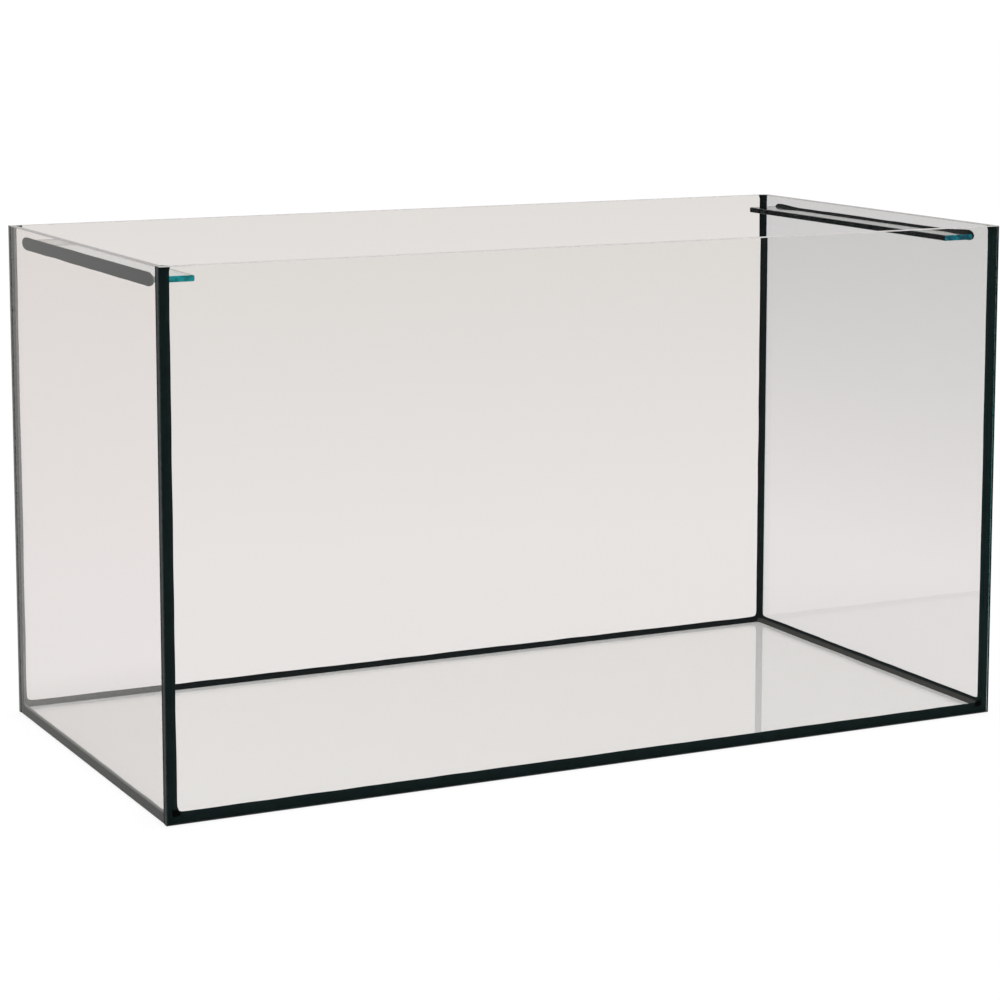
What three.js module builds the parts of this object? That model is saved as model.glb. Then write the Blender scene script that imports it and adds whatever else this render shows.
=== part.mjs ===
// A glass aquarium tank of about 130 litres with no frame round its rim.
//
// Five panes of float glass are bonded cut edge to face with black silicone: the front and back panes
// run the full length, the end panes stand between them, and the bottom pane lies between all four. A
// tooled seal of the same silicone runs along every inner corner. A narrow glass strip is bonded along
// the inside of each end pane, a little below the rim: it braces the pane, and a cover can rest on it.
//
// Millimetres, +Z up. The origin is on the ground under the middle of the tank. The front faces -Y.
import * as THREE from 'three';

// Outside of the tank
const tankLength = 800;
const tankDepth = 400;
const tankHeight = 450;

// Glass
const paneThickness = 6;
const arris = 0.6; // the chamfer ground along every long edge

// Silicone between the glass
const bondThickness = 1; // between a cut edge and the face that it is bonded to
const wipeDepth = 0.3; // how far the outside of a joint is wiped below the glass beside it
const contactGap = 0.05; // kept between faces that touch
const mitreGap = 0.1; // kept at each end of a mitred seal

// Silicone along the inner corners
const cornerSealLeg = 4.2; // how far an upright seal reaches over each pane
const floorSealLeg = 3.6; // how far a floor seal reaches over the wall and over the floor
const hollowCentre = 1.6; // where a seal's hollow face has its centre, in legs from the corner
const hollowSteps = 6; // flat facets that make up a hollow face

// Bracing strips
const braceWidth = 30;
const braceThickness = 5;
const braceDrop = 10; // from the rim down to a strip's top face
const braces = [
  // frontClear and backClear are left between a strip's silicone and the upright seals in front of it and
  // behind it. pastEnd is how far the silicone runs on past each end of the strip, and above and below are
  // how far it reaches over the pane there. Set by hand, the two strips don't lie quite opposite each
  // other, and the right one has little silicone under it.
  { name: 'left', side: -1, frontClear: 6, backClear: 26.8, pastEnd: 5, above: 3.1, below: 3.1 },
  { name: 'right', side: 1, frontClear: 22.5, backClear: 18.3, pastEnd: 1, above: 3.1, below: 1.2 },
];

// What follows from them
const innerLength = tankLength - 2 * paneThickness;
const innerDepth = tankDepth - 2 * paneThickness;
const endPaneWidth = innerDepth - 2 * bondThickness;
const floorLength = innerLength - 2 * bondThickness;
const floorDepth = innerDepth - 2 * bondThickness;

const along = new THREE.Vector3(1, 0, 0);
const across = new THREE.Vector3(0, 1, 0);
const upward = new THREE.Vector3(0, 0, 1);

const tank = new THREE.Group();

function glass() {
  return new THREE.MeshStandardMaterial({
    color: 0xd9e6e0, roughness: 0.03, metalness: 0, transparent: true, opacity: 0.35,
  });
}

function silicone() {
  return new THREE.MeshStandardMaterial({ color: 0x0c1213, roughness: 0.42, metalness: 0 });
}

// Adds one named piece with its geometry's origin at a place in the tank.
function addPiece(name, geometry, material, x, y, z) {
  const mesh = new THREE.Mesh(geometry, material);
  mesh.name = name;
  mesh.position.set(x, y, z);
  tank.add(mesh);
}

// Turns a geometry so that its own x and y lie along two of the tank's directions.
function turned(geometry, xDirection, yDirection) {
  const zDirection = new THREE.Vector3().crossVectors(xDirection, yDirection);
  return geometry.applyMatrix4(new THREE.Matrix4().makeBasis(xDirection, yDirection, zDirection));
}

// A glass plate about its own centre: width along x, height along y, the arris round both faces.
function glassPlate(width, height, thickness) {
  const outline = new THREE.Shape();
  outline.moveTo(-width / 2, -height / 2);
  outline.lineTo(width / 2, -height / 2);
  outline.lineTo(width / 2, height / 2);
  outline.lineTo(-width / 2, height / 2);
  outline.closePath();
  const plate = new THREE.ExtrudeGeometry(outline, {
    depth: thickness - 2 * arris,
    bevelThickness: arris,
    bevelSize: arris,
    bevelOffset: -arris,
    bevelSegments: 1,
  });
  return plate.translate(0, 0, arris - thickness / 2);
}

// A flat layer of silicone between two corners of its space, kept clear of what it touches.
function addLayer(name, low, high) {
  const size = new THREE.Vector3().subVectors(high, low).addScalar(-2 * contactGap);
  const middle = new THREE.Vector3().addVectors(low, high).multiplyScalar(0.5);
  addPiece(name, new THREE.BoxGeometry(size.x, size.y, size.z), silicone(), middle.x, middle.y, middle.z);
}

// How high the hollow face of a seal stands over one wall at a distance from the other.
function hollowHeight(leg, distance) {
  if (distance >= leg) return 0;
  const centre = hollowCentre * leg;
  const radius = Math.hypot(centre - leg, centre);
  return centre - Math.sqrt(radius ** 2 - (centre - distance) ** 2);
}

// The section of a seal in the corner between two walls, which lie along its x and y axes.
function sealSection(leg) {
  const centre = hollowCentre * leg;
  const radius = Math.hypot(centre - leg, centre);
  const start = Math.atan2(-centre, leg - centre);
  const end = Math.atan2(leg - centre, -centre);
  const section = new THREE.Shape();
  section.moveTo(0, 0);
  section.lineTo(leg, 0);
  section.absarc(centre, centre, radius, start, end, true);
  section.closePath();
  return section;
}

// Moves each end of a prism along its length, by an amount that depends on the place in its section.
function shapeEnds(prism, moveStart, moveEnd) {
  const position = prism.getAttribute('position');
  prism.computeBoundingBox();
  const middle = (prism.boundingBox.min.z + prism.boundingBox.max.z) / 2;
  for (let i = 0; i < position.count; i += 1) {
    const move = position.getZ(i) < middle ? moveStart : moveEnd;
    position.setZ(i, position.getZ(i) + move(position.getX(i), position.getY(i)));
  }
  prism.computeVertexNormals();
  return prism;
}

// A straight seal about the middle of its corner line, its ends cut back at 45 degrees.
function mitredSeal(leg, length) {
  const prism = new THREE.ExtrudeGeometry(sealSection(leg), {
    depth: length, bevelEnabled: false, curveSegments: hollowSteps,
  });
  prism.translate(0, 0, -length / 2);
  return shapeEnds(prism, (x) => x, (x) => -x);
}

// --- Panes ---------------------------------------------------------------------------------------

const wallY = tankDepth / 2 - paneThickness / 2;
for (const [name, y] of [['front_pane', -wallY], ['back_pane', wallY]]) {
  const plate = turned(glassPlate(tankLength, tankHeight, paneThickness), along, upward);
  addPiece(name, plate, glass(), 0, y, tankHeight / 2);
}

const wallX = tankLength / 2 - paneThickness / 2;
for (const [name, x] of [['left_pane', -wallX], ['right_pane', wallX]]) {
  const plate = turned(glassPlate(endPaneWidth, tankHeight, paneThickness), across, upward);
  addPiece(name, plate, glass(), x, 0, tankHeight / 2);
}

const floorPlate = glassPlate(floorLength, floorDepth, paneThickness);
addPiece('bottom_pane', floorPlate, glass(), 0, 0, paneThickness / 2);

// --- Bonds: the layers that hold the panes together ------------------------------------------------

// Upright, between each end pane's cut edge and the front or back pane's inner face
for (const [endName, sideX] of [['left', -1], ['right', 1]]) {
  for (const [wallName, sideY] of [['front', -1], ['back', 1]]) {
    const xs = [sideX * (tankLength / 2 - wipeDepth), sideX * innerLength / 2];
    const ys = [sideY * innerDepth / 2, sideY * endPaneWidth / 2];
    addLayer(
      `bond_${wallName}_${endName}`,
      new THREE.Vector3(Math.min(...xs), Math.min(...ys), wipeDepth),
      new THREE.Vector3(Math.max(...xs), Math.max(...ys), tankHeight - wipeDepth),
    );
  }
}

// Level, between the bottom pane's four cut edges and the walls' inner faces
for (const [name, side] of [['bond_front_bottom', -1], ['bond_back_bottom', 1]]) {
  const ys = [side * innerDepth / 2, side * floorDepth / 2];
  addLayer(
    name,
    new THREE.Vector3(-floorLength / 2, Math.min(...ys), wipeDepth),
    new THREE.Vector3(floorLength / 2, Math.max(...ys), paneThickness),
  );
}
for (const [name, side] of [['bond_left_bottom', -1], ['bond_right_bottom', 1]]) {
  const xs = [side * innerLength / 2, side * floorLength / 2];
  addLayer(
    name,
    new THREE.Vector3(Math.min(...xs), -innerDepth / 2, wipeDepth),
    new THREE.Vector3(Math.max(...xs), innerDepth / 2, paneThickness),
  );
}

// --- Seals: the tooled silicone along the inner corners --------------------------------------------

const sealFoot = paneThickness + contactGap;
const sealX = innerLength / 2 - contactGap;
const sealY = innerDepth / 2 - contactGap;

for (const side of [-1, 1]) {
  const long = mitredSeal(floorSealLeg, innerLength - 2 * mitreGap);
  turned(long, across.clone().multiplyScalar(-side), upward);
  addPiece(side < 0 ? 'seal_front_bottom' : 'seal_back_bottom', long, silicone(), 0, side * sealY, sealFoot);
  const short = mitredSeal(floorSealLeg, innerDepth - 2 * mitreGap);
  turned(short, along.clone().multiplyScalar(-side), upward);
  addPiece(side < 0 ? 'seal_left_bottom' : 'seal_right_bottom', short, silicone(), side * sealX, 0, sealFoot);
}

// An upright seal stands on the two floor seals that meet under it.
function uprightSeal() {
  const prism = new THREE.ExtrudeGeometry(sealSection(cornerSealLeg), {
    depth: tankHeight - wipeDepth - sealFoot, bevelEnabled: false, curveSegments: hollowSteps,
  });
  const foot = (x, y) => mitreGap
    + Math.max(hollowHeight(floorSealLeg, x), hollowHeight(floorSealLeg, y));
  return shapeEnds(prism, foot, () => 0);
}

for (const [endName, sideX] of [['left', -1], ['right', 1]]) {
  for (const [wallName, sideY] of [['front', -1], ['back', 1]]) {
    const inX = along.clone().multiplyScalar(-sideX);
    const inY = across.clone().multiplyScalar(-sideY);
    // The seal's own x and y change places in two of the corners, so that it still runs upwards.
    const directions = sideX * sideY > 0 ? [inX, inY] : [inY, inX];
    const seal = turned(uprightSeal(), ...directions);
    addPiece(`seal_${wallName}_${endName}`, seal, silicone(), sideX * sealX, sideY * sealY, sealFoot);
  }
}

// --- Bracing strips --------------------------------------------------------------------------------

// A layer with round ends, about its own centre.
function roundEndedPad(length, height, thickness) {
  const radius = height / 2;
  const straight = length / 2 - radius;
  const outline = new THREE.Shape();
  outline.moveTo(-straight, -radius);
  outline.lineTo(straight, -radius);
  outline.absarc(straight, 0, radius, -Math.PI / 2, Math.PI / 2, false);
  outline.lineTo(-straight, radius);
  outline.absarc(-straight, 0, radius, Math.PI / 2, 1.5 * Math.PI, false);
  const pad = new THREE.ExtrudeGeometry(outline, {
    depth: thickness, bevelEnabled: false, curveSegments: 2 * hollowSteps,
  });
  return pad.translate(0, 0, -thickness / 2);
}

for (const brace of braces) {
  const padLength = innerDepth - 2 * cornerSealLeg - brace.frontClear - brace.backClear;
  const length = padLength - 2 * brace.pastEnd;
  const middleY = (brace.frontClear - brace.backClear) / 2;
  const middleZ = tankHeight - braceDrop - braceThickness / 2;
  const inward = along.clone().multiplyScalar(-brace.side);

  const stripX = innerLength / 2 - bondThickness - braceWidth / 2;
  const strip = glassPlate(braceWidth, length, braceThickness);
  addPiece(`${brace.name}_brace`, strip, glass(), brace.side * stripX, middleY, middleZ);

  const padHeight = braceThickness + brace.above + brace.below;
  const pad = roundEndedPad(padLength, padHeight, bondThickness - 2 * contactGap);
  turned(pad, across, upward);
  const padX = innerLength / 2 - bondThickness / 2;
  const padZ = middleZ + (brace.above - brace.below) / 2;
  addPiece(`${brace.name}_brace_bond`, pad, silicone(), brace.side * padX, middleY, padZ);

  // One bead lies along the strip's top face and one along its underside.
  const beadLength = Math.min(length, padLength - padHeight);
  const beadX = brace.side * (innerLength / 2 - bondThickness - contactGap);
  for (const [name, way, leg] of [['upper', 1, brace.above], ['lower', -1, brace.below]]) {
    const bead = mitredSeal(leg - contactGap, beadLength);
    turned(bead, inward, upward.clone().multiplyScalar(way));
    const beadZ = middleZ + way * (braceThickness / 2 + contactGap);
    addPiece(`${brace.name}_brace_${name}_bead`, bead, silicone(), beadX, middleY, beadZ);
  }
}

export default tank;
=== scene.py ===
import math

import bpy
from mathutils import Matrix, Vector, noise


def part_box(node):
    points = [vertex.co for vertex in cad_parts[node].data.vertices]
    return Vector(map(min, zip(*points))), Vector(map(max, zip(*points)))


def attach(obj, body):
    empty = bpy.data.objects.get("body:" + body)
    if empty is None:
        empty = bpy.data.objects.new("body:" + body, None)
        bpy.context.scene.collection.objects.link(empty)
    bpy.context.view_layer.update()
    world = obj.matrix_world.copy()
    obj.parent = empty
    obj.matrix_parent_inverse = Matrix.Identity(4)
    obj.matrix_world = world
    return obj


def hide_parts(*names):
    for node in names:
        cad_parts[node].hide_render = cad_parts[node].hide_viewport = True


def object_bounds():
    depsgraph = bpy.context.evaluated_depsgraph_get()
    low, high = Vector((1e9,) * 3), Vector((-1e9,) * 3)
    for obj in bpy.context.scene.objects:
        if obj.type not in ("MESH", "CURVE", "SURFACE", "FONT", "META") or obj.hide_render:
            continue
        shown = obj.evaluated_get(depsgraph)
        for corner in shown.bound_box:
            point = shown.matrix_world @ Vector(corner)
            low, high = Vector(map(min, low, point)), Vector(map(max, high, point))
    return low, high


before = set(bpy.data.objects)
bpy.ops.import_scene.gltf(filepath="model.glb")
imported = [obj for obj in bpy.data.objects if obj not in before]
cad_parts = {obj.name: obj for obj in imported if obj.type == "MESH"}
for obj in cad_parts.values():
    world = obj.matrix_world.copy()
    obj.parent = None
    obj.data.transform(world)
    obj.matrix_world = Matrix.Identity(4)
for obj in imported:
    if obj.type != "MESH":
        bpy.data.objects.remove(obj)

CAD_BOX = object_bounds()

# Looks of a glass aquarium tank: clear panes with ground edges, black silicone and two bracing strips.
# Metres, in the CAD's own frame: +X to the right end, +Y to the back, +Z up.

X, Y, Z = Vector((1, 0, 0)), Vector((0, 1, 0)), Vector((0, 0, 1))
MM = 0.001

ENDS = (("left", -1), ("right", 1))
WALLS = (("front", -1), ("back", 1))

# --- Sizes, read from the frame --------------------------------------------------------------------

tank_high = CAD_BOX[1]
front_low, front_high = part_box("front_pane")
end_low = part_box("left_pane")[0]
floor_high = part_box("bottom_pane")[1]
corner_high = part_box("seal_front_left")[1]
floor_seal_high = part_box("seal_front_bottom")[1]

GLASS = front_high.y - front_low.y            # a pane's thickness
INNER_X = tank_high.x - GLASS                 # from the middle to an end pane's inner face
INNER_Y = tank_high.y - GLASS                 # from the middle to the back pane's inner face
BOND = end_low.y - front_high.y               # the silicone between a cut edge and a face
FLOOR_TOP = floor_high.z
RIM = tank_high.z
CORNER_LEG = corner_high.x + INNER_X          # width of an upright seal on the glass
FLOOR_LEG = floor_seal_high.z - FLOOR_TOP     # and of a floor seal

# --- How the silicone was laid ---------------------------------------------------------------------

WET = 0.12 * MM          # how far silicone sinks into glass, so that no film of air is left between
OVERLAP = 0.2 * MM       # how far the silicone in a joint runs on into the seal inside it
WIPE = 0.3 * MM          # how far the outside of a joint lies below the glass beside it
WIPE_WAVER = 0.8         # how much that depth wavers, as a share of it
WIPE_AT_GLASS = 0.4      # how deep the outside lies where it meets the glass, as a share of WIPE
WIPE_FLAT = 0.25         # where its level middle starts, as a share of the joint's width

STEP = 4 * MM            # between two sections of a seam
FINE_STEP = 1 * MM       # and near the rim
FINE_REACH = 5 * MM
RIM_GAP = 0.02 * MM      # from a seal's upper end to the rim
ARC_STEPS = 8            # facets of a seal's hollow face
HOLLOW = 1.6             # the centre of the hollow face, in legs from the corner
SHARP_ANGLE = math.radians(40)  # silicone is smooth across edges that turn less than this

LEG_WAVER = 0.08         # how much a seal's width wavers, as a share of it
WEB_GROWTH = 0.8         # how much wider a seal is where three of them meet, as a share of it
WEB_REACH = 5 * MM       # how far from that corner the extra width dies away
BLOB_GROWTH = 0.25       # how much wider an upright seal is at the rim, where the gun was lifted off
BLOB_REACH = 2.5 * MM

# Seams are laid by hand, so some are wider than others. As shares of the CAD's width:
CORNER_SHARE = {"front_left": 1.0, "front_right": 1.0, "back_left": 1.0, "back_right": 1.18}
FLOOR_SHARE = {"front": 1.0, "back": 1.25, "left": 1.2, "right": 1.6}

# The silicone of the bracing strips
PAD_STEPS = 12           # facets of a pad's round end
PAD_END = {"left": 13 * MM, "right": 8 * MM}  # length of a pad's round end
PAD_WAVER = 0.07         # how much a pad's height wavers, as a share of half of it
PAD_BULGE = 0.55         # where a pad starts to draw in, as a share of its thickness
PAD_SHRINKS = (1.0, 0.985, 0.93)  # a pad's outline at the glass, at the bulge and at the strip
BEAD_TIP = 0.02          # how thin a bead is at its very end, as the square of its share
THINNED = {"left": 0.0, "right": 1.7 * MM}  # how much lower the silicone on a strip is between its ends
THIN_REACH = 42 * MM     # how far from the ends it thins down


# --- Nodes -----------------------------------------------------------------------------------------

def new_material(name):
    """A material with an empty node tree, and that tree."""
    material = bpy.data.materials.new(name)
    material.use_nodes = True
    material.node_tree.nodes.clear()
    return material, material.node_tree


def set_input(tree, socket, value):
    """Sets a socket to a value, or joins another node's output to it."""
    if isinstance(value, bpy.types.NodeSocket):
        tree.links.new(value, socket)
    else:
        socket.default_value = value


def add_node(tree, kind, **inputs):
    """A node with some of its inputs set by name."""
    node = tree.nodes.new(kind)
    for name, value in inputs.items():
        set_input(tree, node.inputs[name], value)
    return node


def calculated(tree, operation, *values):
    """The result of a Math node."""
    node = tree.nodes.new("ShaderNodeMath")
    node.operation = operation
    for socket, value in zip(node.inputs, values):
        set_input(tree, socket, value)
    return node.outputs[0]


def noise_value(tree, scale, detail=2.0, stretch=(1, 1, 1)):
    """The grey value of a noise in the object's own coordinates, stretched along its axes."""
    where = add_node(tree, "ShaderNodeTexCoord").outputs["Object"]
    spread = add_node(tree, "ShaderNodeMapping", Vector=where, Scale=stretch)
    texture = add_node(tree, "ShaderNodeTexNoise", Vector=spread.outputs[0], Scale=scale, Detail=detail)
    return texture.outputs[0]


def ranged(tree, value, low, high, from_low=0.3, from_high=0.7):
    """A value taken from one range to another."""
    node = add_node(tree, "ShaderNodeMapRange", Value=value)
    node.inputs["From Min"].default_value = from_low
    node.inputs["From Max"].default_value = from_high
    node.inputs["To Min"].default_value = low
    node.inputs["To Max"].default_value = high
    return node.outputs[0]


def two_colours(tree, value, first, second):
    """A colour between two, by a value from 0 to 1."""
    ramp = tree.nodes.new("ShaderNodeValToRGB")
    ramp.color_ramp.elements[0].color = (*first, 1)
    ramp.color_ramp.elements[1].color = (*second, 1)
    tree.links.new(value, ramp.inputs[0])
    return ramp.outputs[0]


def mixed_colours(tree, share, first, second):
    """A colour that other nodes give, with a share of a second one."""
    node = tree.nodes.new("ShaderNodeMix")
    node.data_type = "RGBA"
    set_input(tree, node.inputs["Factor"], share)
    set_input(tree, node.inputs[6], first)
    set_input(tree, node.inputs[7], (*second, 1))
    return node.outputs[2]


def mixed_shaders(tree, share, first, second):
    """The first shader, with a share of the second one."""
    node = tree.nodes.new("ShaderNodeMixShader")
    for socket, value in zip(node.inputs, (share, first.outputs[0], second.outputs[0])):
        set_input(tree, socket, value)
    return node


def height_value(tree, low, high):
    """How high a point lies between two levels, from 0 to 1."""
    where = add_node(tree, "ShaderNodeTexCoord").outputs["Object"]
    parts = add_node(tree, "ShaderNodeSeparateXYZ", Vector=where)
    return ranged(tree, parts.outputs[2], 0, 1, low, high)


def surface_output(tree, shader):
    """The material's output, with the shader as its surface."""
    return add_node(tree, "ShaderNodeOutputMaterial", Surface=shader.outputs[0])


# --- Glass materials -------------------------------------------------------------------------------

GLASS_IOR = 1.5
PANE_ABSORBS = ((0.0, 0.8, 0.8), 2.5)      # the green of thick glass: its colour and its density
BRACE_ABSORBS = ((0.0, 0.79, 0.85), 12.0)  # the strips are of greener glass
PAINTED_SHADE_FROM = 0.25 * RIM                    # where a pane's painted shade starts, darker towards the rim
WIPED_ROUGHNESS = 0.015                    # in the marks that wiping left on a pane
GRAIN_SCALE = 900.0                        # of the marks that a grinding stone leaves on a cut edge
GRAIN_DEPTH = 0.1 * MM
HAZY_SHINE = 0.15                          # specular level of a cut edge that scatters light


def finish_glass(tree, shader, absorbed, density):
    """Joins a glass shader and the green absorption of the glass behind it to the output. Light for what
    lies behind the glass passes straight through, so the glass casts no dark shadow."""
    volume = add_node(tree, "ShaderNodeVolumeAbsorption", Color=(*absorbed, 1), Density=density)
    path = tree.nodes.new("ShaderNodeLightPath")
    lighting = calculated(tree, "MAXIMUM", path.outputs["Is Shadow Ray"], path.outputs["Is Diffuse Ray"])
    clear = tree.nodes.new("ShaderNodeBsdfTransparent")
    output = surface_output(tree, mixed_shaders(tree, lighting, shader, clear))
    tree.links.new(volume.outputs[0], output.inputs["Volume"])


def glass_shader(tree, colour, roughness, mirror):
    """Clear glass. mirror is how much of its plain reflection is left."""
    shader = add_node(tree, "ShaderNodeBsdfPrincipled", Roughness=roughness, IOR=GLASS_IOR)
    tree.links.new(colour, shader.inputs["Base Color"])
    shader.inputs["Specular Tint"].default_value = (mirror, mirror, mirror, 1)
    shader.inputs["Transmission Weight"].default_value = 1.0
    return shader


def stone_marks(tree, shader, grain):
    """Gives a shader the fine relief of a ground edge."""
    bump = add_node(tree, "ShaderNodeBump", Strength=0.25, Distance=GRAIN_DEPTH, Height=grain)
    tree.links.new(bump.outputs[0], shader.inputs["Normal"])


def pane_material(name, top, bottom, mirror, absorbs=PANE_ABSORBS):
    """Clear float glass: faintly tinted, with wiping marks, and with painted shade in its colour, darker
    towards the rim.
    """
    material, tree = new_material(name)
    # painted shade: the colour darkens from low down towards the rim
    shade = two_colours(tree, height_value(tree, PAINTED_SHADE_FROM, RIM), bottom, top)
    marks = noise_value(tree, 9.0, 3.0, (1, 1, 0.35))
    roughness = ranged(tree, marks, 0.0, WIPED_ROUGHNESS, 0.45, 0.75)
    finish_glass(tree, glass_shader(tree, shade, roughness, mirror), *absorbs)
    return material


def ground_edge_material(name, colour, roughness, mirror, absorbs):
    """A cut edge of the glass, ground with a fine stone: hazy, with the stone's marks along it."""
    material, tree = new_material(name)
    grain = noise_value(tree, GRAIN_SCALE, 3.0, (0.15, 0.15, 0.15))
    darker = tuple(part * 0.86 for part in colour)
    shade = two_colours(tree, noise_value(tree, 40.0), darker, colour)
    shader = glass_shader(tree, shade, ranged(tree, grain, roughness * 0.7, roughness * 1.3), mirror)
    stone_marks(tree, shader, grain)
    finish_glass(tree, shader, *absorbs)
    return material


def hazy_edge_material(name, low, high, clear=0.0):
    """A cut edge that scatters light, frosted by the stone. Its colour is given: on some edges a painted
    glow of light from within the glass, on others painted shade. clear is the share of light that still goes
    through it."""
    material, tree = new_material(name)
    patches = ranged(tree, noise_value(tree, 260.0, 3.0), 0, 1, 0.4, 0.6)
    grain = noise_value(tree, GRAIN_SCALE, 3.0)
    shader = add_node(tree, "ShaderNodeBsdfPrincipled", Roughness=ranged(tree, grain, 0.3, 0.5),
                      IOR=GLASS_IOR)
    tree.links.new(two_colours(tree, patches, low, high), shader.inputs["Base Color"])
    shader.inputs["Specular IOR Level"].default_value = HAZY_SHINE
    shader.inputs["Transmission Weight"].default_value = clear
    stone_marks(tree, shader, grain)
    surface_output(tree, shader)
    return material


# --- Silicone materials ----------------------------------------------------------------------------

def silicone_material():
    """Black cured silicone: smooth where it was tooled, with faint streaks and ripples."""
    material, tree = new_material("black_silicone")
    patches = noise_value(tree, 60.0, 4.0)
    ripples = noise_value(tree, 220.0, 3.0)
    colour = two_colours(tree, patches, (0.003, 0.006, 0.0065), (0.007, 0.0105, 0.0105))
    shader = add_node(tree, "ShaderNodeBsdfPrincipled", Roughness=ranged(tree, patches, 0.4, 0.6))
    tree.links.new(colour, shader.inputs["Base Color"])
    bump = add_node(tree, "ShaderNodeBump", Strength=0.35, Distance=0.3 * MM, Height=ripples)
    tree.links.new(bump.outputs[0], shader.inputs["Normal"])
    shader.inputs["Specular IOR Level"].default_value = 0.07
    surface_output(tree, shader)
    return material


def dull_silicone(material, tree, colour):
    """Makes a material dull silicone of the colour that another node gives."""
    shader = add_node(tree, "ShaderNodeBsdfPrincipled", Roughness=0.6)
    tree.links.new(colour, shader.inputs["Base Color"])
    shader.inputs["Specular IOR Level"].default_value = 0.0
    surface_output(tree, shader)
    return material


def wetted_silicone_material():
    """The same silicone where it sticks to glass: dead black and without a shine of its own, mottled
    where it was pressed out unevenly."""
    material, tree = new_material("black_silicone_on_glass")
    patches = noise_value(tree, 90.0, 4.0)
    colour = two_colours(tree, patches, (0.004, 0.0095, 0.0095), (0.010, 0.0185, 0.018))
    return dull_silicone(material, tree, colour)


def graded_silicone_material(name, low, high, low_colour, high_colour):
    """Silicone of a floor seal that changes its tone between two heights, given in legs above the floor."""
    material, tree = new_material(name)
    height = height_value(tree, FLOOR_TOP + low * FLOOR_LEG, FLOOR_TOP + high * FLOOR_LEG)
    return dull_silicone(material, tree, two_colours(tree, height, low_colour, high_colour))


# --- Glass: the CAD's own plates, with a ground finish on the cut edges ----------------------------

def dress_plate(node, thin_axis, face_material, edges):
    """Gives a plate a material for its faces, and for its cut edges and their arrises the materials in
    edges, which are listed with the direction that each edge faces."""
    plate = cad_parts[node]
    plate.data.materials.clear()
    plate.data.materials.append(face_material)
    for direction, material in edges:
        plate.data.materials.append(material)
    for polygon in plate.data.polygons:
        if abs(polygon.normal.dot(thin_axis)) > 0.99:
            polygon.material_index = 0
        else:
            facing = [polygon.normal.dot(direction) for direction, material in edges]
            polygon.material_index = 1 + facing.index(max(facing))


# Painted shade: the panes differ in tone, some darker than others, and in how much they mirror: colour at
# the rim, colour low down, mirror.
near_glass = pane_material("pane_glass_near", (0.985, 0.97, 0.96), (0.985, 0.975, 0.965), 0.4)
far_glass = pane_material("pane_glass_far", (0.775, 0.738, 0.712), (0.872, 0.828, 0.822), 0.3)
left_glass = pane_material("pane_glass_left", (0.985, 0.935, 0.935), (0.995, 0.965, 0.965), 0.3)
right_glass = pane_material("pane_glass_right", (0.70, 0.685, 0.68), (0.875, 0.834, 0.836), 1.0)
floor_glass = pane_material("pane_glass_floor", (0.97, 0.935, 0.93), (0.97, 0.935, 0.93), 1.0)
brace_glass = pane_material("brace_glass", (0.97, 0.975, 0.97), (0.97, 0.975, 0.97), 1.0, BRACE_ABSORBS)

rim_edge = hazy_edge_material("pane_rim_edge", (0.60, 0.58, 0.57), (0.74, 0.72, 0.705), 0.25)
# painted shade: the end panes' rims, in a darker copy of the front and back rims' colour
painted_shade_end_rim = hazy_edge_material("pane_end_rim_in_painted_shade", (0.42, 0.41, 0.40), (0.54, 0.53, 0.52), 0.25)
cut_edge = ground_edge_material("pane_ground_edge", (0.45, 0.52, 0.51), 0.3, 1.0, PANE_ABSORBS)
# painted shade: nearly black, on the panes' bottom edges at the floor and on the front pane's left edge
painted_shade_edge = hazy_edge_material("pane_edge_in_painted_shade", (0.008, 0.014, 0.015), (0.02, 0.028, 0.028))
# painted shade: dark grey, on the back pane's left edge
painted_grey_shade_edge = hazy_edge_material("pane_edge_in_painted_grey_shade", (0.075, 0.08, 0.075), (0.12, 0.122, 0.112))

# the strips' long edges: the glass's own teal, darkened as painted shade
brace_edge = ground_edge_material("brace_cut_edge", (0.03, 0.12, 0.12), 0.2, 0.2, BRACE_ABSORBS)
# the strips' front ends: the glass's own teal, with a painted glow of light carried along the strip, bluer
# on the right
brace_painted_glow_end = hazy_edge_material("brace_cut_painted_glow_end", (0.001, 0.17, 0.175), (0.004, 0.28, 0.31))
brace_painted_blue_glow_end = hazy_edge_material("brace_cut_painted_blue_glow_end", (0.001, 0.07, 0.10), (0.004, 0.19, 0.245))
# painted shade: nearly black, on the strips' back ends
brace_painted_shade_end = hazy_edge_material("brace_cut_painted_shade_end", (0.002, 0.012, 0.014), (0.004, 0.03, 0.034))

front_edges = ((Z, rim_edge), (-Z, painted_shade_edge), (-X, painted_shade_edge), (X, cut_edge))
back_edges = ((Z, rim_edge), (-Z, painted_shade_edge), (-X, painted_grey_shade_edge), (X, cut_edge))
end_edges = ((Z, painted_shade_end_rim), (-Z, painted_shade_edge), (Y, cut_edge), (-Y, cut_edge))
floor_edges = ((X, cut_edge), (-X, cut_edge), (Y, cut_edge), (-Y, cut_edge))
left_brace_edges = ((X, brace_edge), (-X, brace_edge), (Y, brace_painted_shade_end), (-Y, brace_painted_glow_end))
right_brace_edges = ((X, brace_edge), (-X, brace_edge), (Y, brace_painted_shade_end), (-Y, brace_painted_blue_glow_end))

dress_plate("front_pane", Y, near_glass, front_edges)
dress_plate("back_pane", Y, far_glass, back_edges)
dress_plate("left_pane", X, left_glass, end_edges)
dress_plate("right_pane", X, right_glass, end_edges)
dress_plate("bottom_pane", Z, floor_glass, floor_edges)
dress_plate("left_brace", Z, brace_glass, left_brace_edges)
dress_plate("right_brace", Z, brace_glass, right_brace_edges)


# --- Silicone: shapes ------------------------------------------------------------------------------

silicone = silicone_material()
wetted_silicone = wetted_silicone_material()
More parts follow.
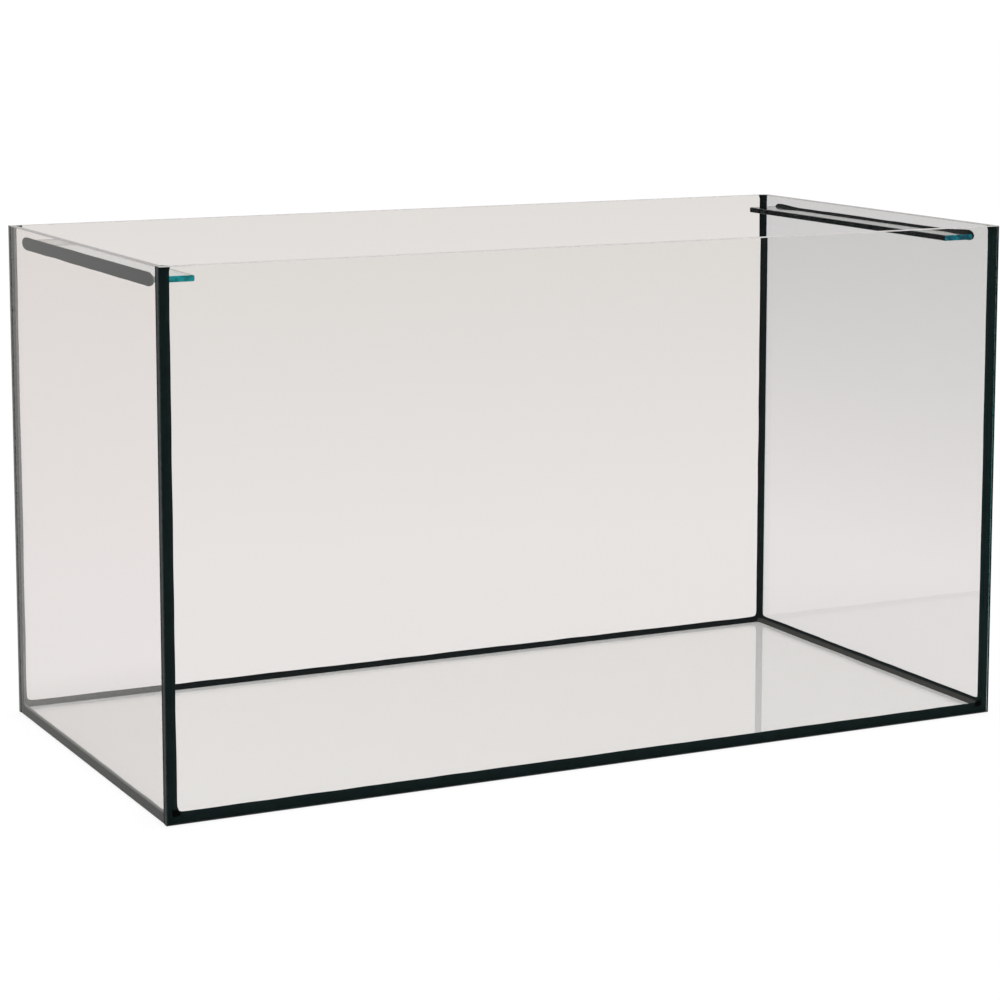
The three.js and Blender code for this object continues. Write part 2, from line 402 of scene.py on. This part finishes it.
# black at the floor, greyer towards its upper edge
greyer_up_silicone = graded_silicone_material("black_silicone_greyer_up", 0.2, 1.3,
                                         (0.006, 0.009, 0.009), (0.32, 0.31, 0.30))
# painted light: the lower part of a seal, which faces up, painted lighter
painted_light_silicone = graded_silicone_material("black_silicone_painted_light", 0.75, 1.05,
                                          (0.056, 0.054, 0.050), (0.008, 0.012, 0.012))


def waver(place, seed, wavelength):
    """A smooth, repeatable wander between about -1 and 1 along a seam."""
    return noise.noise(Vector((place / wavelength, seed * 7.31, 0.5)))


def sweep(node, rings, wet_sides=(), wet_ends=(False, False), on_glass=None, on_face=None):
    """A closed piece through rings of equal length, which rides on the tank in place of a CAD node.
    wet_sides are the sides of a ring, by number, that stick to glass, and wet_ends says whether the first
    and the last ring do. on_glass is the silicone's material there, and on_face elsewhere."""
    name = "silicone_" + node
    vertices = [point for ring in rings for point in ring]
    count = len(rings[0])
    faces = [tuple(range(count - 1, -1, -1))]
    slots = [1 if wet_ends[0] else 0]
    for r in range(len(rings) - 1):
        for i in range(count):
            j = (i + 1) % count
            faces.append((r * count + i, r * count + j, (r + 1) * count + j, (r + 1) * count + i))
            slots.append(1 if i in wet_sides else 0)
    last = (len(rings) - 1) * count
    faces.append(tuple(last + i for i in range(count)))
    slots.append(1 if wet_ends[1] else 0)
    mesh = bpy.data.meshes.new(name)
    mesh.from_pydata(vertices, [], faces)
    mesh.validate()
    mesh.polygons.foreach_set("use_smooth", [True] * len(mesh.polygons))
    mesh.set_sharp_from_angle(angle=SHARP_ANGLE)
    mesh.materials.append(on_face or silicone)
    mesh.materials.append(on_glass or wetted_silicone)
    mesh.polygons.foreach_set("material_index", slots)
    mesh.update()
    piece = bpy.data.objects.new(name, mesh)
    bpy.context.collection.objects.link(piece)
    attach(piece, "root")
    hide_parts(node)


def along(start, end, step=STEP):
    """Evenly spaced places from start to end, about a step apart."""
    count = max(2, math.ceil(abs(end - start) / step))
    return [start + (end - start) * i / count for i in range(count + 1)]


def placed(section, corner, across, up, direction, place):
    """A section's points, at a place along a seam."""
    return [corner + across * a + up * b + direction * place for a, b in section]


def facing_out(rings, across, up, direction, wet_sides=()):
    """The rings, with their points in the order that turns the faces outward, and the wet sides' numbers."""
    if across.cross(up).dot(direction) >= 0:
        return rings, wet_sides
    count = len(rings[0])
    return [list(reversed(ring)) for ring in rings], [(count - 2 - side) % count for side in wet_sides]


def hollow_section(leg_a, leg_b):
    """A tooled seal's section: distances from the walls a and b, starting and ending inside them."""
    radius = math.hypot(HOLLOW - 1, HOLLOW)
    start = math.atan2(-HOLLOW, 1 - HOLLOW)
    end = math.atan2(1 - HOLLOW, -HOLLOW) - 2 * math.pi
    points = [(-WET, -WET), (leg_a, -WET)]
    for i in range(ARC_STEPS + 1):
        angle = start + (end + 2 * math.pi - start) * i / ARC_STEPS
        a = leg_a * (HOLLOW + radius * math.cos(angle))
        b = leg_b * (HOLLOW + radius * math.sin(angle))
        points.append((a, b))
    points.append((-WET, leg_b))
    return points


def seal(node, corner, across, up, direction, places, leg, webs, seed, on_glass=None, on_face=None):
    """A tooled seal in the corner between two glass faces. webs are the places where it is wider: each
    with its growth, as a share of the leg, and its reach."""
    rings = []
    for place in places:
        grown = 1 + sum(growth * math.exp(-((place - web) / reach) ** 2) for web, growth, reach in webs)
        leg_a = leg * grown * (1 + LEG_WAVER * waver(place, seed, 35 * MM))
        leg_b = leg * grown * (1 + LEG_WAVER * waver(place, seed + 50, 28 * MM))
        rings.append(placed(hollow_section(leg_a, leg_b), corner, across, up, direction, place))
    rings, wet_sides = facing_out(rings, across, up, direction, [0, ARC_STEPS + 3])
    sweep(node, rings, wet_sides, on_glass=on_glass, on_face=on_face)


def layer(node, corner, across, inward, direction, places, seed):
    """The silicone between a cut edge and a face. Its outer side is wiped a little hollow."""
    depth = GLASS + OVERLAP
    rings = []
    for place in places:
        wiped = WIPE * (1 + WIPE_WAVER * waver(place, seed, 22 * MM))
        section = [(-WET, wiped * WIPE_AT_GLASS), (BOND * WIPE_FLAT, wiped), (BOND * (1 - WIPE_FLAT), wiped),
                   (BOND + WET, wiped * WIPE_AT_GLASS), (BOND + WET, depth), (-WET, depth)]
        rings.append(placed(section, corner, across, inward, direction, place))
    rings, wet_sides = facing_out(rings, across, inward, direction, [3, 5])
    sweep(node, rings, wet_sides)


# --- Silicone: the upright joints and the floor joints ---------------------------------------------

upright_places = along(FLOOR_TOP - WET, RIM - FINE_REACH - FINE_STEP)
upright_places += along(RIM - FINE_REACH, RIM - RIM_GAP, FINE_STEP)
upright_webs = [(FLOOR_TOP, WEB_GROWTH, WEB_REACH), (RIM, BLOB_GROWTH, BLOB_REACH)]

for number, (end, side_x) in enumerate(ENDS):
    for row, (wall, side_y) in enumerate(WALLS):
        seed = 10 + 2 * number + row
        corner = Vector((side_x * INNER_X, side_y * INNER_Y, 0))
        seal(f"seal_{wall}_{end}", corner, X * -side_x, Y * -side_y, Z, upright_places,
             CORNER_LEG * CORNER_SHARE[f"{wall}_{end}"], upright_webs, seed)
        outside = Vector((side_x * tank_high.x, side_y * INNER_Y, 0))
        layer(f"bond_{wall}_{end}", outside, Y * -side_y, X * -side_x, Z, along(WIPE, RIM - WIPE), seed + 20)

for number, (wall, side) in enumerate(WALLS):
    corner = Vector((0, side * INNER_Y, FLOOR_TOP))
    webs = [(place, WEB_GROWTH, WEB_REACH) for place in (-INNER_X, INNER_X)]
    seal(f"seal_{wall}_bottom", corner, Y * -side, Z, X, along(-INNER_X, INNER_X),
         FLOOR_LEG * FLOOR_SHARE[wall], webs, 40 + number)
    under = Vector((0, side * INNER_Y, 0))
    layer(f"bond_{wall}_bottom", under, Y * -side, Z, X, along(-INNER_X, INNER_X), 50 + number)

for number, (end, side) in enumerate(ENDS):
    corner = Vector((side * INNER_X, 0, FLOOR_TOP))
    webs = [(place, WEB_GROWTH, WEB_REACH) for place in (-INNER_Y, INNER_Y)]
    seal(f"seal_{end}_bottom", corner, X * -side, Z, Y, along(-INNER_Y, INNER_Y),
         FLOOR_LEG * FLOOR_SHARE[end], webs, 60 + number,
         on_glass=greyer_up_silicone if end == "left" else None,
         on_face=painted_light_silicone if end == "right" else None)
    under = Vector((side * INNER_X, 0, 0))
    layer(f"bond_{end}_bottom", under, X * -side, Z, Y, along(-INNER_Y, INNER_Y), 70 + number)


# --- Silicone: the bracing strips ------------------------------------------------------------------

def thinned(end, from_end):
    """How much lower the silicone on top of a strip is, at a distance from the strip's nearer end."""
    share = max(0.0, min(1.0, from_end / THIN_REACH))
    return THINNED[end] * share * share * (3 - 2 * share)


def brace_pad(end, side, seed):
    """The round-ended band between a strip's long edge and the end pane, pressed out by the strip."""
    node = f"{end}_brace_bond"
    low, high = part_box(node)
    middle = (low + high) / 2
    radius = (high.z - low.z) / 2
    reach = PAD_END[end]
    straight = (high.y - low.y) / 2 - reach
    outline = []
    for y in along(-straight, straight):
        outline.append((y, -radius * (1 + PAD_WAVER * waver(y, seed, 30 * MM))))
    for i in range(1, PAD_STEPS):
        angle = -math.pi / 2 + math.pi * i / PAD_STEPS
        outline.append((straight + reach * math.cos(angle), radius * math.sin(angle)))
    for y in along(straight, -straight):
        lowered = thinned(end, straight - abs(y))
        outline.append((y, radius * (1 + PAD_WAVER * waver(y, seed + 9, 30 * MM)) - lowered))
    for i in range(1, PAD_STEPS):
        angle = math.pi / 2 + math.pi * i / PAD_STEPS
        outline.append((-straight + reach * math.cos(angle), radius * math.sin(angle)))
    levels = (side * (INNER_X + WET), side * (INNER_X - PAD_BULGE * BOND), side * (INNER_X - BOND))
    rings = []
    for x, shrink in zip(levels, PAD_SHRINKS):
        ring = []
        for y, z in outline:
            away = Vector((0, max(-straight, min(straight, y)), 0))
            point = away + (Vector((0, y, z)) - away) * shrink
            ring.append(Vector((x, middle.y + point.y, middle.z + point.z)))
        rings.append(ring)
    if side > 0:
        rings.reverse()
    sweep(node, rings, wet_ends=(side < 0, side > 0))


def brace_bead(end, side, level, way, seed):
    """The hollow bead between a pad and a strip's top or bottom face, thinning out at its ends."""
    node = f"{end}_brace_{level}_bead"
    low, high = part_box(node)
    strip_low, strip_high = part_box(f"{end}_brace")
    leg = high.z - low.z
    across, up = X * -side, Z * way
    corner = Vector((side * (INNER_X - BOND), 0, strip_high.z if way > 0 else strip_low.z))
    rings = []
    for y in along(low.y, high.y):
        from_end = min(y - low.y, high.y - y)
        share = min(1, from_end / (2 * leg))
        grown = math.sqrt(max(BEAD_TIP, share * (2 - share)))
        if way > 0:
            grown *= 1 - thinned(end, from_end) / leg
        leg_a = leg * grown * (1 + 0.10 * waver(y, seed, 26 * MM))
        leg_b = leg * grown * (1 + 0.06 * waver(y, seed + 3, 31 * MM))
        rings.append(placed(hollow_section(leg_a, leg_b), corner, across, up, Y, y))
    rings, wet_sides = facing_out(rings, across, up, Y)
    sweep(node, rings, wet_sides)


for number, (end, side) in enumerate(ENDS):
    brace_pad(end, side, 80 + number)
    for level, way in (("upper", 1), ("lower", -1)):
        brace_bead(end, side, level, way, 90 + 2 * number + way)


# --- Floor and light -------------------------------------------------------------------------------

FLOOR_GAP = 0.4 * MM     # keeps the floor's surface apart from the bottom pane's
FLOOR_SIDE = 40.0
WHITE = 1.03             # the studio's own brightness
FLOOR_GLOW = 0.8         # the share of the floor's light that comes from under it

# What is mirrored by the glass, and where, by the parts of a mirrored ray's direction
DARK_SIDE = (0.12, 0.12, 0.12)     # in front of the tank
LIGHT_SIDE = (0.74, 0.72, 0.70)    # behind it
LIGHT_FROM = (-0.7, -0.4)          # along Y, from the dark side to the light one
DARK_CORNER = (0.1, 0.1, 0.1)      # a corner of the room behind the tank, at the left
CORNER_LEFT = (-0.5, -0.4)         # along X, from the corner to the room's middle
CORNER_UP = (-0.2, -0.088)         # along Z, from below the corner up into it
CORNER_BACK = (0.6, 0.75)          # along Y, from beside the corner back into it
GROUND_SIDE = (0.53, 0.52, 0.50)   # the ground behind the tank
GROUND_TILT = 0.124                # how much higher the ground's edge is for each step to the left
GROUND_EDGE = (-0.287, -0.277)     # along Z, from the ground to above it


def mirrored_ray(tree):
    """1 where a ray was mirrored on its way, and 0 where it wasn't."""
    path = tree.nodes.new("ShaderNodeLightPath")
    return calculated(tree, "MINIMUM", path.outputs["Glossy Depth"], 1.0)


def make_floor():
    """A plain white floor, a light table, so that the tank leaves only a faint shadow. Mirrored rays pass
    through it to the studio's own sides."""
    material, tree = new_material("studio_floor")
    tone = two_colours(tree, noise_value(tree, 3.0), (0.94, 0.94, 0.94), (0.95, 0.95, 0.95))
    lit = add_node(tree, "ShaderNodeBsdfDiffuse", Color=tone)
    glow = add_node(tree, "ShaderNodeEmission", Color=(1, 1, 1, 1), Strength=WHITE)
    clear = tree.nodes.new("ShaderNodeBsdfTransparent")
    seen = mixed_shaders(tree, FLOOR_GLOW, lit, glow)
    surface_output(tree, mixed_shaders(tree, mirrored_ray(tree), seen, clear))
    half = FLOOR_SIDE / 2
    mesh = bpy.data.meshes.new("studio_floor")
    corners = [(-half, -half), (half, -half), (half, half), (-half, half)]
    mesh.from_pydata([(x, y, -FLOOR_GAP) for x, y in corners], [], [(0, 1, 2, 3)])
    mesh.materials.append(material)
    floor = bpy.data.objects.new("studio_floor", mesh)
    bpy.context.collection.objects.link(floor)


def mirrored_room(tree):
    """The colour of the room that mirrored rays meet: darker in front of the tank than behind it, with a
    dark corner high up at the left and a darker ground."""
    where = add_node(tree, "ShaderNodeTexCoord").outputs["Generated"]
    right, back, up = add_node(tree, "ShaderNodeSeparateXYZ", Vector=where).outputs
    behind = ranged(tree, back, 0, 1, *LIGHT_FROM)
    corner = calculated(tree, "MULTIPLY", ranged(tree, right, 1, 0, *CORNER_LEFT),
                        ranged(tree, up, 0, 1, *CORNER_UP))
    corner = calculated(tree, "MULTIPLY", corner, ranged(tree, back, 0, 1, *CORNER_BACK))
    tilted = calculated(tree, "MULTIPLY_ADD", right, GROUND_TILT, up)
    ground = calculated(tree, "MULTIPLY", ranged(tree, tilted, 1, 0, *GROUND_EDGE), behind)
    walls = mixed_colours(tree, corner, two_colours(tree, behind, DARK_SIDE, LIGHT_SIDE), DARK_CORNER)
    return mixed_colours(tree, ground, walls, GROUND_SIDE)


def make_world():
    """An even white studio. Mirrored rays meet a room instead."""
    world = bpy.data.worlds.new("studio")
    world.use_nodes = True
    tree = world.node_tree
    tree.nodes.clear()
    white = add_node(tree, "ShaderNodeBackground", Color=(1, 1, 1, 1), Strength=WHITE)
    room = add_node(tree, "ShaderNodeBackground", Color=mirrored_room(tree))
    mix = mixed_shaders(tree, mirrored_ray(tree), white, room)
    add_node(tree, "ShaderNodeOutputWorld", Surface=mix.outputs[0])
    bpy.context.scene.world = world


# --- Camera ----------------------------------------------------------------------------------------

LENS = 103.4             # mm, on a sensor 36 mm wide
SHIFT = -0.15            # lifts the tank in the frame
CAMERA_PLACE = (-1.150, -2.3125, 0.684)
CAMERA_TURN = 26.37      # degrees from +Y towards +X
CAMERA_DIP = 7.66        # degrees below level


def make_camera():
    """A long lens from the front left, a little above the rim."""
    data = bpy.data.cameras.new("camera")
    data.sensor_width = 36.0
    data.lens = LENS
    data.shift_y = SHIFT
    data.clip_start = 0.05
    data.clip_end = 50
    camera = bpy.data.objects.new("camera", data)
    camera.location = CAMERA_PLACE
    camera.rotation_euler = (math.radians(90 - CAMERA_DIP), 0, math.radians(-CAMERA_TURN))
    bpy.context.collection.objects.link(camera)
    bpy.context.scene.camera = camera


make_floor()
make_world()
make_camera()

# Light crosses up to eight glass faces and is mirrored between them, so it needs many bounces.
scene = bpy.context.scene
scene.view_settings.view_transform = "Standard"
scene.cycles.max_bounces = 28
scene.cycles.transmission_bounces = 28
scene.cycles.glossy_bounces = 16
